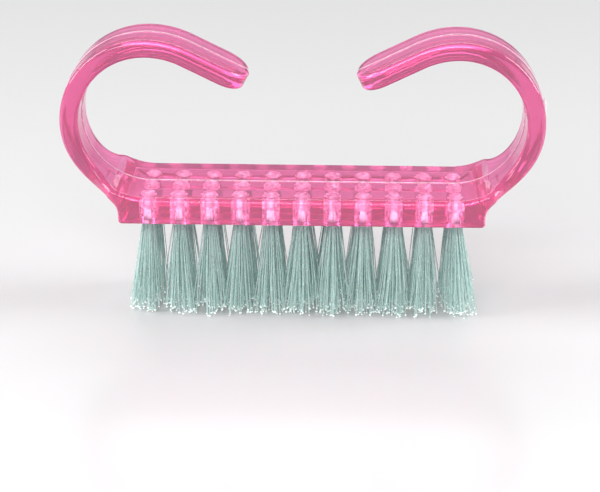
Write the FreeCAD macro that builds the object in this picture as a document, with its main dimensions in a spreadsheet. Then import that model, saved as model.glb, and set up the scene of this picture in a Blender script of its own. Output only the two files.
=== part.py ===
import FreeCAD, Part
import Sketcher
import math
import os

# Acrylic nail brush: a one-piece moulded handle, which is a drilled block with a
# curled finger hook at each end, and thirty-three bristle tufts, each folded over
# a flat wire anchor that is driven into its hole.
# Frame: millimetres, +Z up, X along the brush. The origin is the middle of the
# plane of the bristle tips, so the brush stands on Z = 0.

doc = FreeCAD.newDocument("NailBrush")
sheet = doc.addObject("Spreadsheet::Sheet", "Sizes")

sizes = [
    # the bar that holds the tufts
    ("column_pitch", 4.17),
    ("row_pitch", 3.8),
    ("end_margin", 3.9),
    ("side_margin", 3.45),
    ("block_high", 3.65),
    ("bristle_long", 14.0),
    # a hook's outline, seen from the front
    ("hook_reach", 7.75),
    ("hook_high", 21.15),
    ("hook_wide", 8.7),
    ("hook_thick", 2.5),
    ("root_step", 0.68),
    ("upper_round", 11.7),
    ("crown_round", 12.9),
    ("run_slope", 26.3),
    ("tip_gap", 14.2),
    # the neck, where a hook narrows beyond the block's end, seen from above
    ("neck_round", 4.4),
    ("shoulder_round", 1.5),
    # roundings
    ("tip_corner", 3.5),
    ("edge_round", 0.7),
    ("foot_round", 0.3),
    # tuft holes and what fills them
    ("hole_wide", 1.9),
    ("hole_deep", 2.7),
    ("tuft_gap", 0.02),
    ("tuft_apart", 0.2),
    ("anchor_thick", 0.32),
    ("anchor_high", 1.3),
    ("anchor_bite", 0.18),
    ("anchor_seat", 0.5),
    ("anchor_gap", 0.02),
    # how far a cutting shape runs past what it cuts
    ("cut_over", 4.0),
]
COLUMNS = 11
ROWS = ["front", "middle", "back"]

size = {}
for row, (alias, value) in enumerate(sizes, start=1):
    sheet.set("A%d" % row, alias)
    sheet.set("B%d" % row, repr(value))
    sheet.setAlias("B%d" % row, alias)
    size[alias] = value

# What follows from the sizes above is worked out in the sheet as well.
derived = [
    ("block_long", "=column_pitch * %d + 2 * end_margin" % (COLUMNS - 1)),
    ("block_wide", "=row_pitch * %d + 2 * side_margin" % (len(ROWS) - 1)),
    ("block_top", "=bristle_long + block_high"),
    ("root_rise", "=block_high - root_step"),
    ("root_fillet", "=root_rise * 0.875"),
    ("overall_long", "=block_long + 2 * hook_reach"),
    ("overall_high", "=block_top + hook_high"),
    ("neck_end", "=overall_long / 2 - hook_thick"),
    ("hook_level", "=overall_high - upper_round"),
    ("tuft_spread", "=min(column_pitch; row_pitch) - tuft_apart"),
    ("anchor_top", "=bristle_long + hole_deep - anchor_seat"),
]
for row, (alias, formula) in enumerate(derived, start=len(sizes) + 1):
    sheet.set("A%d" % row, alias)
    sheet.set("B%d" % row, formula)
    sheet.setAlias("B%d" % row, alias)
doc.recompute()
for alias, formula in derived:
    size[alias] = float(getattr(sheet, alias))

AXIS_X = -1
AXIS_Y = -2
START = 1
END = 2
CENTRE = 3


def origin_plane(body, role):
    """Return the body's own origin feature that has this role."""
    for feature in body.Origin.OriginFeatures:
        if feature.Role == role:
            return feature
    raise RuntimeError("no origin feature " + role)


def new_sketch(body, name, role):
    """Make a sketch on one of the body's origin planes."""
    sketch = body.newObject("Sketcher::SketchObject", name)
    sketch.AttachmentSupport = [(origin_plane(body, role), "")]
    sketch.MapMode = "FlatFace"
    return sketch


def point(x, y):
    return FreeCAD.Vector(x, y, 0)


def line(sketch, x1, y1, x2, y2):
    return sketch.addGeometry(Part.LineSegment(point(x1, y1), point(x2, y2)), False)


def arc(sketch, x, y, radius, start, end):
    """Add an arc by its centre, radius and two angles in degrees, anticlockwise."""
    circle = Part.Circle(point(x, y), FreeCAD.Vector(0, 0, 1), radius)
    shape = Part.ArcOfCircle(circle, math.radians(start), math.radians(end))
    return sketch.addGeometry(shape, False)


def tie(sketch, kind, *arguments):
    return sketch.addConstraint(Sketcher.Constraint(kind, *arguments))


def dimension(sketch, name, formula, kind, *arguments):
    """Add a named dimension and bind it to the sheet."""
    number = sketch.addConstraint(Sketcher.Constraint(kind, *arguments))
    sketch.renameConstraint(number, name)
    sketch.setExpression("Constraints." + name, formula)
    return number


def close_loop(sketch, edges):
    """Join straight edges end to start, all the way round."""
    for first, second in zip(edges, edges[1:] + edges[:1]):
        tie(sketch, "Coincident", first, END, second, START)


def rectangle(sketch, middle, foot, width, height):
    """Draw a rectangle about a middle and up from a foot; the foot is left to tie."""
    left = middle - width / 2
    right = middle + width / 2
    edges = [
        line(sketch, left, foot, right, foot),
        line(sketch, right, foot, right, foot + height),
        line(sketch, right, foot + height, left, foot + height),
        line(sketch, left, foot + height, left, foot),
    ]
    close_loop(sketch, edges)
    tie(sketch, "Vertical", edges[1])
    tie(sketch, "Horizontal", edges[2])
    tie(sketch, "Vertical", edges[3])
    return edges


def check_states():
    """Stop when a feature of the document has failed."""
    doc.recompute()
    for item in doc.Objects:
        if "Invalid" in item.State or "Error" in item.State:
            raise RuntimeError("failed feature: " + item.Label)


def must_change(before, body, name, grows):
    """Stop when a feature has not changed the body the way it should."""
    after = body.Shape.Volume
    if grows and after <= before + 1e-3:
        raise RuntimeError(name + " added nothing")
    if not grows and after >= before - 1e-3:
        raise RuntimeError(name + " cut nothing")


# ---------------------------------------------------------------- the handle

handle = doc.addObject("PartDesign::Body", "HandleBody")
handle.Label = "handle_body"

block_top = size["block_top"]

# The drilled block, a plain bar that lies across the tufts.
block_sketch = new_sketch(handle, "BlockSketch", "XZ_Plane")
block = rectangle(block_sketch, 0, size["bristle_long"], size["block_long"], size["block_high"])
tie(block_sketch, "Symmetric", block[0], START, block[0], END, AXIS_Y)
dimension(block_sketch, "long", "Sizes.block_long", "DistanceX",
          block[0], START, block[0], END, size["block_long"])
dimension(block_sketch, "high", "Sizes.block_high", "DistanceY",
          block[1], START, block[1], END, size["block_high"])
dimension(block_sketch, "foot", "Sizes.bristle_long", "DistanceY",
          AXIS_X, START, block[0], START, size["bristle_long"])
block_pad = handle.newObject("PartDesign::Pad", "BlockPad")
block_pad.Profile = block_sketch
block_pad.SideType = "Symmetric"
block_pad.setExpression("Length", "Sizes.block_wide")
check_states()

# One hook's side outline. Outside, an arc sweeps up from the block's end to the
# outermost point, a second one runs on to the top and a third leads into the
# straight run. Inside, an arc leaves the block's top level with it, and the rest
# follows the outside at one thickness.
reach = size["overall_long"] / 2
thick = size["hook_thick"]
level = size["overall_high"] - size["upper_round"]
slope = size["run_slope"]
upper_x = reach - size["upper_round"]
crown_z = size["overall_high"] - size["crown_round"]
inner_round = level - block_top
inner_x = reach - thick - inner_round
end_x = size["block_long"] / 2
root_z = size["bristle_long"] + size["root_rise"]
out = reach - end_x
lower_round = (out**2 + (level - root_z) ** 2) / (2 * out)
lower_x = reach - lower_round
root_angle = math.degrees(math.atan2(level - root_z, end_x - lower_x))
run_angle = math.radians(slope)
crown_out_x = upper_x - size["crown_round"] * math.sin(run_angle)
crown_out_z = crown_z + size["crown_round"] * math.cos(run_angle)
tip_x = size["tip_gap"] / 2
tip_z = crown_out_z - (crown_out_x - tip_x) * math.tan(run_angle)
low_tip_x = tip_x + thick * math.sin(run_angle)
low_tip_z = tip_z - thick * math.cos(run_angle)
crown_in_x = upper_x - (size["crown_round"] - thick) * math.sin(run_angle)
crown_in_z = crown_z + (size["crown_round"] - thick) * math.cos(run_angle)

hook_sketch = new_sketch(handle, "HookSketch", "XZ_Plane")
lower = arc(hook_sketch, lower_x, level, lower_round, -root_angle, 0)
upper = arc(hook_sketch, upper_x, level, size["upper_round"], 0, 90)
crown = arc(hook_sketch, upper_x, crown_z, size["crown_round"], 90, 90 + slope)
run = line(hook_sketch, tip_x, tip_z, crown_out_x, crown_out_z)
tip = line(hook_sketch, tip_x, tip_z, low_tip_x, low_tip_z)
under_run = line(hook_sketch, low_tip_x, low_tip_z, crown_in_x, crown_in_z)
under_crown = arc(hook_sketch, upper_x, crown_z, size["crown_round"] - thick, 90, 90 + slope)
under_upper = arc(hook_sketch, upper_x, level, size["upper_round"] - thick, 0, 90)
under_lower = arc(hook_sketch, inner_x, level, inner_round, -90, 0)
drop = line(hook_sketch, inner_x, block_top, inner_x, root_z)
floor = line(hook_sketch, inner_x, root_z, end_x, root_z)

tie(hook_sketch, "Tangent", lower, END, upper, START)
tie(hook_sketch, "Tangent", upper, END, crown, START)
tie(hook_sketch, "Tangent", crown, END, run, END)
tie(hook_sketch, "Perpendicular", run, START, tip, START)
tie(hook_sketch, "Perpendicular", tip, END, under_run, START)
tie(hook_sketch, "Tangent", under_run, END, under_crown, END)
tie(hook_sketch, "Tangent", under_crown, START, under_upper, END)
tie(hook_sketch, "Tangent", under_upper, START, under_lower, END)
tie(hook_sketch, "Perpendicular", under_lower, START, drop, START)
tie(hook_sketch, "Coincident", drop, END, floor, START)
tie(hook_sketch, "Coincident", floor, END, lower, START)
tie(hook_sketch, "Vertical", drop)
tie(hook_sketch, "Horizontal", floor)
tie(hook_sketch, "Horizontal", lower, CENTRE, upper, CENTRE)
tie(hook_sketch, "Horizontal", under_lower, CENTRE, upper, CENTRE)
tie(hook_sketch, "Vertical", upper, CENTRE, crown, CENTRE)
tie(hook_sketch, "Coincident", under_upper, CENTRE, upper, CENTRE)
tie(hook_sketch, "Coincident", under_crown, CENTRE, crown, CENTRE)
dimension(hook_sketch, "reach", "Sizes.overall_long / 2", "DistanceX",
          AXIS_X, START, lower, END, reach)
dimension(hook_sketch, "top", "Sizes.overall_high", "DistanceY",
          AXIS_X, START, upper, END, size["overall_high"])
dimension(hook_sketch, "rootHigh", "Sizes.bristle_long + Sizes.root_rise", "DistanceY",
          AXIS_X, START, lower, START, root_z)
dimension(hook_sketch, "upperRound", "Sizes.upper_round", "Radius", upper, size["upper_round"])
dimension(hook_sketch, "crownRound", "Sizes.crown_round", "Radius", crown, size["crown_round"])
dimension(hook_sketch, "slope", "Sizes.run_slope * 1 deg", "Angle", run, run_angle)
dimension(hook_sketch, "thick", "Sizes.hook_thick", "Distance",
          tip, START, tip, END, thick)
dimension(hook_sketch, "tipPlace", "Sizes.tip_gap / 2", "DistanceX",
          AXIS_X, START, run, START, tip_x)
dimension(hook_sketch, "rootPlace", "Sizes.block_long / 2", "DistanceX",
          AXIS_X, START, lower, START, end_x)
dimension(hook_sketch, "landing", "Sizes.block_top", "DistanceY",
          AXIS_X, START, under_lower, START, block_top)
check_states()

volume = handle.Shape.Volume
hook_pad = handle.newObject("PartDesign::Pad", "HookPad")
hook_pad.Profile = hook_sketch
hook_pad.SideType = "Symmetric"
hook_pad.setExpression("Length", "Sizes.block_wide")
check_states()
must_change(volume, handle, "HookPad", True)

volume = handle.Shape.Volume
hook_pair = handle.newObject("PartDesign::Mirrored", "HookPair")
hook_pair.Originals = [hook_pad]
hook_pair.MirrorPlane = (origin_plane(handle, "YZ_Plane"), [""])
handle.Tip = hook_pair
check_states()
must_change(volume, handle, "HookPair", True)


def round_edges(body, name, wanted, formula):
    """Round the edges of the body's last shape that pass a test."""
    base = body.Tip
    names = []
    for number, edge in enumerate(base.Shape.Edges, start=1):
        if wanted(edge):
            names.append("Edge%d" % number)
    if not names:
        raise RuntimeError(name + " found no edges")
    fillet = body.newObject("PartDesign::Fillet", name)
    fillet.Base = (base, names)
    fillet.setExpression("Radius", formula)
    check_states()
    return fillet


def is_root_corner(edge):
    """The inside corner where a hook leaves the block's end."""
    box = edge.BoundBox
    if box.XLength > 1e-4 or box.ZLength > 1e-4:
        return False
    return abs(abs(box.XMin) - end_x) < 1e-3 and abs(box.ZMin - root_z) < 1e-3


round_edges(handle, "RootRound", is_root_corner, "Sizes.root_fillet")

# The neck: seen from above, a hook narrows beyond the block's end in a hollow curve,
# which ends where the hook stands upright. Above that level it keeps its own width.
half_block = size["block_wide"] / 2
half_hook = size["hook_wide"] / 2
neck_round = size["neck_round"]
shoulder_round = size["shoulder_round"]
neck_end = size["neck_end"]
hook_level = size["hook_level"]
neck_side = half_block + size["cut_over"]
neck_far = neck_end + size["hook_thick"] + size["cut_over"]
neck_top = size["overall_high"] + size["cut_over"]

# The hollow arc's middle lies outside the hook, the shoulder's inside the block.
hollow_y = half_hook + neck_round
shoulder_y = half_block - shoulder_round
both = neck_round + shoulder_round
shoulder_x = neck_end - math.sqrt(both**2 - (hollow_y - shoulder_y) ** 2)
meet = math.degrees(math.atan2(hollow_y - shoulder_y, neck_end - shoulder_x))

neck_sketch = new_sketch(handle, "NeckSketch", "XY_Plane")
neck_sketch.setExpression("AttachmentOffset.Base.z", "Sizes.hook_level")
shoulder = arc(neck_sketch, shoulder_x, shoulder_y, shoulder_round, meet, 90)
hollow = arc(neck_sketch, neck_end, hollow_y, neck_round, 180 + meet, 270)
flank = line(neck_sketch, neck_end, half_hook, neck_far, half_hook)
outer = line(neck_sketch, neck_far, half_hook, neck_far, neck_side)
back = line(neck_sketch, neck_far, neck_side, shoulder_x, neck_side)
near = line(neck_sketch, shoulder_x, neck_side, shoulder_x, half_block)
tie(neck_sketch, "Tangent", shoulder, START, hollow, START)
tie(neck_sketch, "Tangent", hollow, END, flank, START)
tie(neck_sketch, "Coincident", flank, END, outer, START)
tie(neck_sketch, "Coincident", outer, END, back, START)
tie(neck_sketch, "Coincident", back, END, near, START)
tie(neck_sketch, "Perpendicular", near, END, shoulder, END)
tie(neck_sketch, "Horizontal", flank)
tie(neck_sketch, "Vertical", outer)
tie(neck_sketch, "Horizontal", back)
tie(neck_sketch, "Vertical", near)
dimension(neck_sketch, "neckRound", "Sizes.neck_round", "Radius", hollow, neck_round)
dimension(neck_sketch, "shoulderRound", "Sizes.shoulder_round", "Radius", shoulder,
          shoulder_round)
dimension(neck_sketch, "neckEnd", "Sizes.neck_end", "DistanceX",
          AXIS_X, START, flank, START, neck_end)
dimension(neck_sketch, "hookSide", "Sizes.hook_wide / 2", "DistanceY",
          AXIS_X, START, flank, START, half_hook)
dimension(neck_sketch, "blockSide", "Sizes.block_wide / 2", "DistanceY",
          AXIS_X, START, shoulder, END, half_block)
dimension(neck_sketch, "over", "Sizes.cut_over", "DistanceY",
          near, END, near, START, size["cut_over"])
dimension(neck_sketch, "far", "Sizes.overall_long / 2 + Sizes.cut_over", "DistanceX",
          AXIS_X, START, flank, END, neck_far)
check_states()

volume = handle.Shape.Volume
neck_cut = handle.newObject("PartDesign::Pocket", "NeckCut")
neck_cut.Profile = neck_sketch
neck_cut.SideType = "One side"
neck_cut.setExpression("Length", "Sizes.hook_level - Sizes.bristle_long + Sizes.cut_over")
check_states()
must_change(volume, handle, "NeckCut", False)

volume = handle.Shape.Volume
neck_set = handle.newObject("PartDesign::MultiTransform", "NeckSet")
neck_set.Originals = [neck_cut]
neck_across = handle.newObject("PartDesign::Mirrored", "NeckAcross")
neck_across.MirrorPlane = (origin_plane(handle, "XZ_Plane"), [""])
neck_along = handle.newObject("PartDesign::Mirrored", "NeckAlong")
neck_along.MirrorPlane = (origin_plane(handle, "YZ_Plane"), [""])
neck_set.Transformations = [neck_across, neck_along]
handle.Tip = neck_set
check_states()
must_change(volume, handle, "NeckSet", False)

upper_sketch = new_sketch(handle, "UpperSketch", "YZ_Plane")
edges = [
    line(upper_sketch, half_hook, hook_level, neck_side, hook_level),
    line(upper_sketch, neck_side, hook_level, neck_side, neck_top),
    line(upper_sketch, neck_side, neck_top, half_hook, neck_top),
    line(upper_sketch, half_hook, neck_top, half_hook, hook_level),
]
close_loop(upper_sketch, edges)
tie(upper_sketch, "Horizontal", edges[0])
tie(upper_sketch, "Vertical", edges[1])
tie(upper_sketch, "Horizontal", edges[2])
tie(upper_sketch, "Vertical", edges[3])
dimension(upper_sketch, "hookSide", "Sizes.hook_wide / 2", "DistanceX",
          AXIS_X, START, edges[0], START, half_hook)
dimension(upper_sketch, "farSide", "Sizes.block_wide / 2 + Sizes.cut_over", "DistanceX",
          AXIS_X, START, edges[0], END, neck_side)
dimension(upper_sketch, "level", "Sizes.hook_level", "DistanceY",
          AXIS_X, START, edges[0], START, hook_level)
dimension(upper_sketch, "top", "Sizes.overall_high + Sizes.cut_over", "DistanceY",
          AXIS_X, START, edges[2], START, neck_top)
check_states()

volume = handle.Shape.Volume
upper_cut = handle.newObject("PartDesign::Pocket", "UpperCut")
upper_cut.Profile = upper_sketch
upper_cut.SideType = "Symmetric"
upper_cut.setExpression("Length", "Sizes.overall_long + 2 * Sizes.cut_over")
check_states()
must_change(volume, handle, "UpperCut", False)

volume = handle.Shape.Volume
upper_pair = handle.newObject("PartDesign::Mirrored", "UpperPair")
upper_pair.Originals = [upper_cut]
upper_pair.MirrorPlane = (origin_plane(handle, "XZ_Plane"), [""])
handle.Tip = upper_pair
check_states()
must_change(volume, handle, "UpperPair", False)


def is_tip_corner(edge):
    """The four short edges at each hook's free end that run through its thickness."""
    box = edge.BoundBox
    if box.YLength > 1e-4 or abs(abs(box.YMin) - half_hook) > 1e-3:
        return False
    if max(abs(box.XMin), abs(box.XMax)) > low_tip_x + 1e-3:
        return False
    return abs(edge.Length - thick) < 1e-3


round_edges(handle, "TipCorners", is_tip_corner, "Sizes.tip_corner")


def face_normal(face, place):
    """The outward normal of a face nearest a point."""
    u, v = face.Surface.parameter(place)
    return face.normalAt(u, v)


def side_edges(shape, low):
    """Find the edges that bound the handle's front and back, above a height."""
    found = []
    for edge in shape.Edges:
        faces = shape.ancestorsOfType(edge, Part.Face)
        if len(faces) != 2:
            continue
        middle = edge.valueAt((edge.FirstParameter + edge.LastParameter) / 2)
        if edge.BoundBox.ZMax < low:
            continue
        slants = [abs(face_normal(face, middle).y) for face in faces]
        if min(slants) < 0.05 and max(slants) > 0.3:
            found.append(edge)
    return found


def matches(edges):
    """Make a test that is true for an edge of this list."""
    marks = []
    for edge in edges:
        middle = edge.valueAt((edge.FirstParameter + edge.LastParameter) / 2)
        marks.append((middle, edge.Length))

    def wanted(edge):
        middle = edge.valueAt((edge.FirstParameter + edge.LastParameter) / 2)
        for place, length in marks:
            if place.distanceToPoint(middle) < 1e-5 and abs(length - edge.Length) < 1e-5:
                return True
        return False

    return wanted


long_sides = side_edges(handle.Tip.Shape, size["bristle_long"] + 0.01)
round_edges(handle, "EdgeRound", matches(long_sides), "Sizes.edge_round")


def is_foot_edge(edge):
    """The four edges round the block's underside."""
    box = edge.BoundBox
    return abs(box.ZMin - size["bristle_long"]) < 1e-3 and box.ZLength < 1e-3


round_edges(handle, "FootRound", is_foot_edge, "Sizes.foot_round")

# The tuft holes stand in three rows. Each is blind, and the anchor that is driven
# into it leaves a groove down both sides, as far as its own seat.
hole_radius = size["hole_wide"] / 2
row_places = [-size["row_pitch"], 0.0, size["row_pitch"]]
first_column = -(COLUMNS - 1) / 2 * size["column_pitch"]
groove_long = size["hole_wide"] + 2 * (size["anchor_bite"] + size["anchor_gap"])
groove_wide = size["anchor_thick"] + 2 * size["anchor_gap"]
anchor_top = size["anchor_top"]


def underside_sketch(name):
    """Make a sketch in the plane of the block's underside."""
    sketch = new_sketch(handle, name, "XY_Plane")
    sketch.setExpression("AttachmentOffset.Base.z", "Sizes.bristle_long")
    return sketch


def cut_upward(name, sketch, formula):
    """Cut a sketch on the underside up into the block, in every column."""
    before = handle.Shape.Volume
    cut = handle.newObject("PartDesign::Pocket", name)
    cut.Profile = sketch
    cut.SideType = "One side"
    cut.Reversed = True
    cut.setExpression("Length", formula)
    check_states()
    must_change(before, handle, name, False)
    before = handle.Shape.Volume
    columns = handle.newObject("PartDesign::LinearPattern", name + "Columns")
    columns.Originals = [cut]
    columns.Direction = (origin_plane(handle, "X_Axis"), [""])
    columns.Mode = "Spacing"
    columns.Occurrences = COLUMNS
    columns.setExpression("Offset", "Sizes.column_pitch")
    handle.Tip = columns
    check_states()
    must_change(before, handle, name + "Columns", False)


first_place = "Sizes.column_pitch * %d" % ((COLUMNS - 1) // 2)
hole_sketch = underside_sketch("HoleSketch")
for number, place in enumerate(row_places):
    circle = Part.Circle(point(first_column, place), FreeCAD.Vector(0, 0, 1), hole_radius)
    hole = hole_sketch.addGeometry(circle, False)
    dimension(hole_sketch, "wide%d" % number, "Sizes.hole_wide / 2", "Radius",
              hole, hole_radius)
    dimension(hole_sketch, "column%d" % number, first_place, "DistanceX",
              hole, CENTRE, AXIS_X, START, -first_column)
    if number == 0:
        dimension(hole_sketch, "frontRow", "Sizes.row_pitch", "DistanceY",
                  hole, CENTRE, AXIS_X, START, -place)
    elif number == 1:
        tie(hole_sketch, "PointOnObject", hole, CENTRE, AXIS_X)
    else:
        dimension(hole_sketch, "backRow", "Sizes.row_pitch", "DistanceY",
                  AXIS_X, START, hole, CENTRE, place)
check_states()
cut_upward("Holes", hole_sketch, "Sizes.hole_deep")

groove_sketch = underside_sketch("GrooveSketch")
groove_low = "Sizes.anchor_thick / 2 + Sizes.anchor_gap"
for number, place in enumerate(row_places):
    foot = place - groove_wide / 2
    edges = rectangle(groove_sketch, first_column, foot, groove_long, groove_wide)
    tie(groove_sketch, "Horizontal", edges[0])
    dimension(groove_sketch, "long%d" % number,
              "Sizes.hole_wide + 2 * (Sizes.anchor_bite + Sizes.anchor_gap)", "DistanceX",
              edges[0], START, edges[0], END, groove_long)
    dimension(groove_sketch, "wide%d" % number,
              "Sizes.anchor_thick + 2 * Sizes.anchor_gap", "DistanceY",
              edges[1], START, edges[1], END, groove_wide)
    dimension(groove_sketch, "column%d" % number,
              first_place + " + Sizes.hole_wide / 2 + Sizes.anchor_bite + Sizes.anchor_gap",
              "DistanceX", edges[0], START, AXIS_X, START, groove_long / 2 - first_column)
    if number == 2:
        dimension(groove_sketch, "row2", "Sizes.row_pitch - " + groove_low.replace("+", "-"),
                  "DistanceY", AXIS_X, START, edges[0], START, foot)
    elif number == 1:
        dimension(groove_sketch, "row1", groove_low, "DistanceY",
                  edges[0], START, AXIS_X, START, -foot)
    else:
        dimension(groove_sketch, "row0", "Sizes.row_pitch + " + groove_low, "DistanceY",
                  edges[0], START, AXIS_X, START, -foot)
check_states()
cut_upward("Grooves", groove_sketch,
           "Sizes.anchor_top - Sizes.bristle_long + Sizes.anchor_gap")

# ------------------------------------------------------------------ the tufts

# Each tuft is a bundle of filaments, folded double over its anchor. It fills its
# hole and spreads below the block until it nearly meets its neighbours.
root_radius = hole_radius - size["tuft_gap"]
tip_radius = size["tuft_spread"] / 2
hole_end = size["bristle_long"] + size["hole_deep"] - size["tuft_gap"]
slot_wide = size["anchor_thick"] + 2 * size["anchor_gap"]
slot_high = size["anchor_high"] + 2 * size["anchor_gap"]
slot_foot = anchor_top - size["anchor_high"] - size["anchor_gap"]


def make_tuft(name, label, column, row):
    """Make one tuft with the slot that its anchor lies in."""
    body = doc.addObject("PartDesign::Body", name)
    body.Label = label
    outline = new_sketch(body, name + "Outline", "XZ_Plane")
    mouth = size["bristle_long"]
    base = line(outline, 0, 0, tip_radius, 0)
    flare = line(outline, tip_radius, 0, root_radius, mouth)
    root = line(outline, root_radius, mouth, root_radius, hole_end)
    head = line(outline, root_radius, hole_end, 0, hole_end)
    core = line(outline, 0, hole_end, 0, 0)
    close_loop(outline, [base, flare, root, head, core])
    tie(outline, "Coincident", base, START, AXIS_X, START)
    tie(outline, "Horizontal", base)
    tie(outline, "Vertical", root)
    tie(outline, "Horizontal", head)
    tie(outline, "Vertical", core)
    dimension(outline, "spread", "Sizes.tuft_spread / 2", "DistanceX",
              base, START, base, END, tip_radius)
    dimension(outline, "root", "Sizes.hole_wide / 2 - Sizes.tuft_gap", "DistanceX",
              AXIS_X, START, root, START, root_radius)
    dimension(outline, "free", "Sizes.bristle_long", "DistanceY",
              AXIS_X, START, root, START, mouth)
    dimension(outline, "inHole", "Sizes.hole_deep - Sizes.tuft_gap", "DistanceY",
              root, START, root, END, hole_end - mouth)
    turned = body.newObject("PartDesign::Revolution", name + "Bundle")
    turned.Profile = outline
    turned.ReferenceAxis = (outline, ["V_Axis"])
    turned.Angle = 360
    check_states()
    before = body.Shape.Volume
    slot_sketch = new_sketch(body, name + "SlotSketch", "YZ_Plane")
    slot = rectangle(slot_sketch, 0, slot_foot, slot_wide, slot_high)
    tie(slot_sketch, "Symmetric", slot[0], START, slot[0], END, AXIS_Y)
    dimension(slot_sketch, "wide", "Sizes.anchor_thick + 2 * Sizes.anchor_gap",
              "DistanceX", slot[0], START, slot[0], END, slot_wide)
    dimension(slot_sketch, "high", "Sizes.anchor_high + 2 * Sizes.anchor_gap",
              "DistanceY", slot[1], START, slot[1], END, slot_high)
    dimension(slot_sketch, "foot",
              "Sizes.anchor_top - Sizes.anchor_high - Sizes.anchor_gap",
              "DistanceY", AXIS_X, START, slot[0], START, slot_foot)
    slot_cut = body.newObject("PartDesign::Pocket", name + "Slot")
    slot_cut.Profile = slot_sketch
    slot_cut.SideType = "Symmetric"
    slot_cut.setExpression("Length", "Sizes.hole_wide + 2 * Sizes.cut_over")
    check_states()
    must_change(before, body, name + "Slot", False)
    body.setExpression("Placement.Base.x", "Sizes.column_pitch * %d" % column)
    body.setExpression("Placement.Base.y", "Sizes.row_pitch * %d" % row)
    return body


pieces = [handle]
for row_number, row_name in enumerate(ROWS):
    for column_number in range(COLUMNS):
        column = column_number - (COLUMNS - 1) // 2
        name = "Tuft%s%02d" % (row_name.title(), column_number + 1)
        label = "tuft_%s_%02d" % (row_name, column_number + 1)
        pieces.append(make_tuft(name, label, column, row_number - 1))
check_states()

# ---------------------------------------------------------------- the anchors

# An anchor is a short length of flat brass wire. Its ends bite into the wall of
# the hole and hold the fold of the tuft down.
for row_number, row_name in enumerate(ROWS):
    wires = []
    for column_number in range(COLUMNS):
        column = column_number - (COLUMNS - 1) // 2
        wire = doc.addObject("Part::Box", "Wire%s%02d" % (row_name.title(), column_number + 1))
        wire.setExpression("Length", "Sizes.hole_wide + 2 * Sizes.anchor_bite")
        wire.setExpression("Width", "Sizes.anchor_thick")
        wire.setExpression("Height", "Sizes.anchor_high")
        wire.setExpression(
            "Placement.Base.x",
            "Sizes.column_pitch * %d - Sizes.hole_wide / 2 - Sizes.anchor_bite" % column,
        )
        wire.setExpression(
            "Placement.Base.y",
            "Sizes.row_pitch * %d - Sizes.anchor_thick / 2" % (row_number - 1),
        )
        wire.setExpression(
            "Placement.Base.z",
            "Sizes.anchor_top - Sizes.anchor_high",
        )
        wires.append(wire)
    group = doc.addObject("Part::Compound", "Anchors" + row_name.title())
    group.Label = "anchor_wires_" + row_name
    group.Links = wires
    pieces.append(group)
check_states()

# ----------------------------------------------------------------- the output

for piece in pieces:
    if piece.Shape.isNull() or not piece.Shape.isValid():
        raise RuntimeError("bad shape: " + piece.Label)
    if abs(piece.Shape.Volume) < 1e-6:
        raise RuntimeError("empty shape: " + piece.Label)
if len(handle.Shape.Solids) != 1:
    raise RuntimeError("the handle is not one solid")

os.makedirs("parts", exist_ok=True)
for piece in pieces:
    piece.Shape.exportStep(os.path.join("parts", piece.Label + ".step"))
print("pieces", len(pieces))
print("handle volume", round(handle.Shape.Volume, 2))
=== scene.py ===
"""Looks of the acrylic nail brush: clear pink moulded handle, folded nylon tufts and wire anchors.

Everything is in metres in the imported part's own frame. The handle's mesh starts from the CAD
solid and gains what a mould leaves on it; the tufts are grown filament by filament.
"""

import logging
import math
from dataclasses import dataclass, field
from enum import Enum
from typing import Any

import bmesh
import bpy
from mathutils import Matrix, Vector, noise


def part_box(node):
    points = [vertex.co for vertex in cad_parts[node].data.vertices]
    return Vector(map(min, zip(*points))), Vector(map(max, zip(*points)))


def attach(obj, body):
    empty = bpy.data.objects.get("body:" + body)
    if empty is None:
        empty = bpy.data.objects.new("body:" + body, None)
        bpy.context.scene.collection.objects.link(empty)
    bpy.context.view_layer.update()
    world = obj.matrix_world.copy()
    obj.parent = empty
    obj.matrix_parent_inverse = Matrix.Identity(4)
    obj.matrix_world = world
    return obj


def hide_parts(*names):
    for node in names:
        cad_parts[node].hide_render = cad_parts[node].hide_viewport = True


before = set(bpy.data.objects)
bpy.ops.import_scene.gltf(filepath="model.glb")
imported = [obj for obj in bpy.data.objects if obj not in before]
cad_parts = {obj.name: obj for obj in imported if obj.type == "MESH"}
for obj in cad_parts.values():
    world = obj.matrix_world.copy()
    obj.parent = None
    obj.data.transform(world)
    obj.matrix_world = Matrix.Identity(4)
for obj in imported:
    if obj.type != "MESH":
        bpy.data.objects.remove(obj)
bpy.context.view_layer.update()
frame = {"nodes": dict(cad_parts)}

MM = 0.001
BODY = "root"
LOG = logging.getLogger("nail_brush")


# ---------------------------------------------------------------------------
# small typed helpers for node trees
# ---------------------------------------------------------------------------

class Domain(Enum):
    """Where a captured value lives on a geometry."""

    POINT = "POINT"
    INSTANCE = "INSTANCE"


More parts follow.
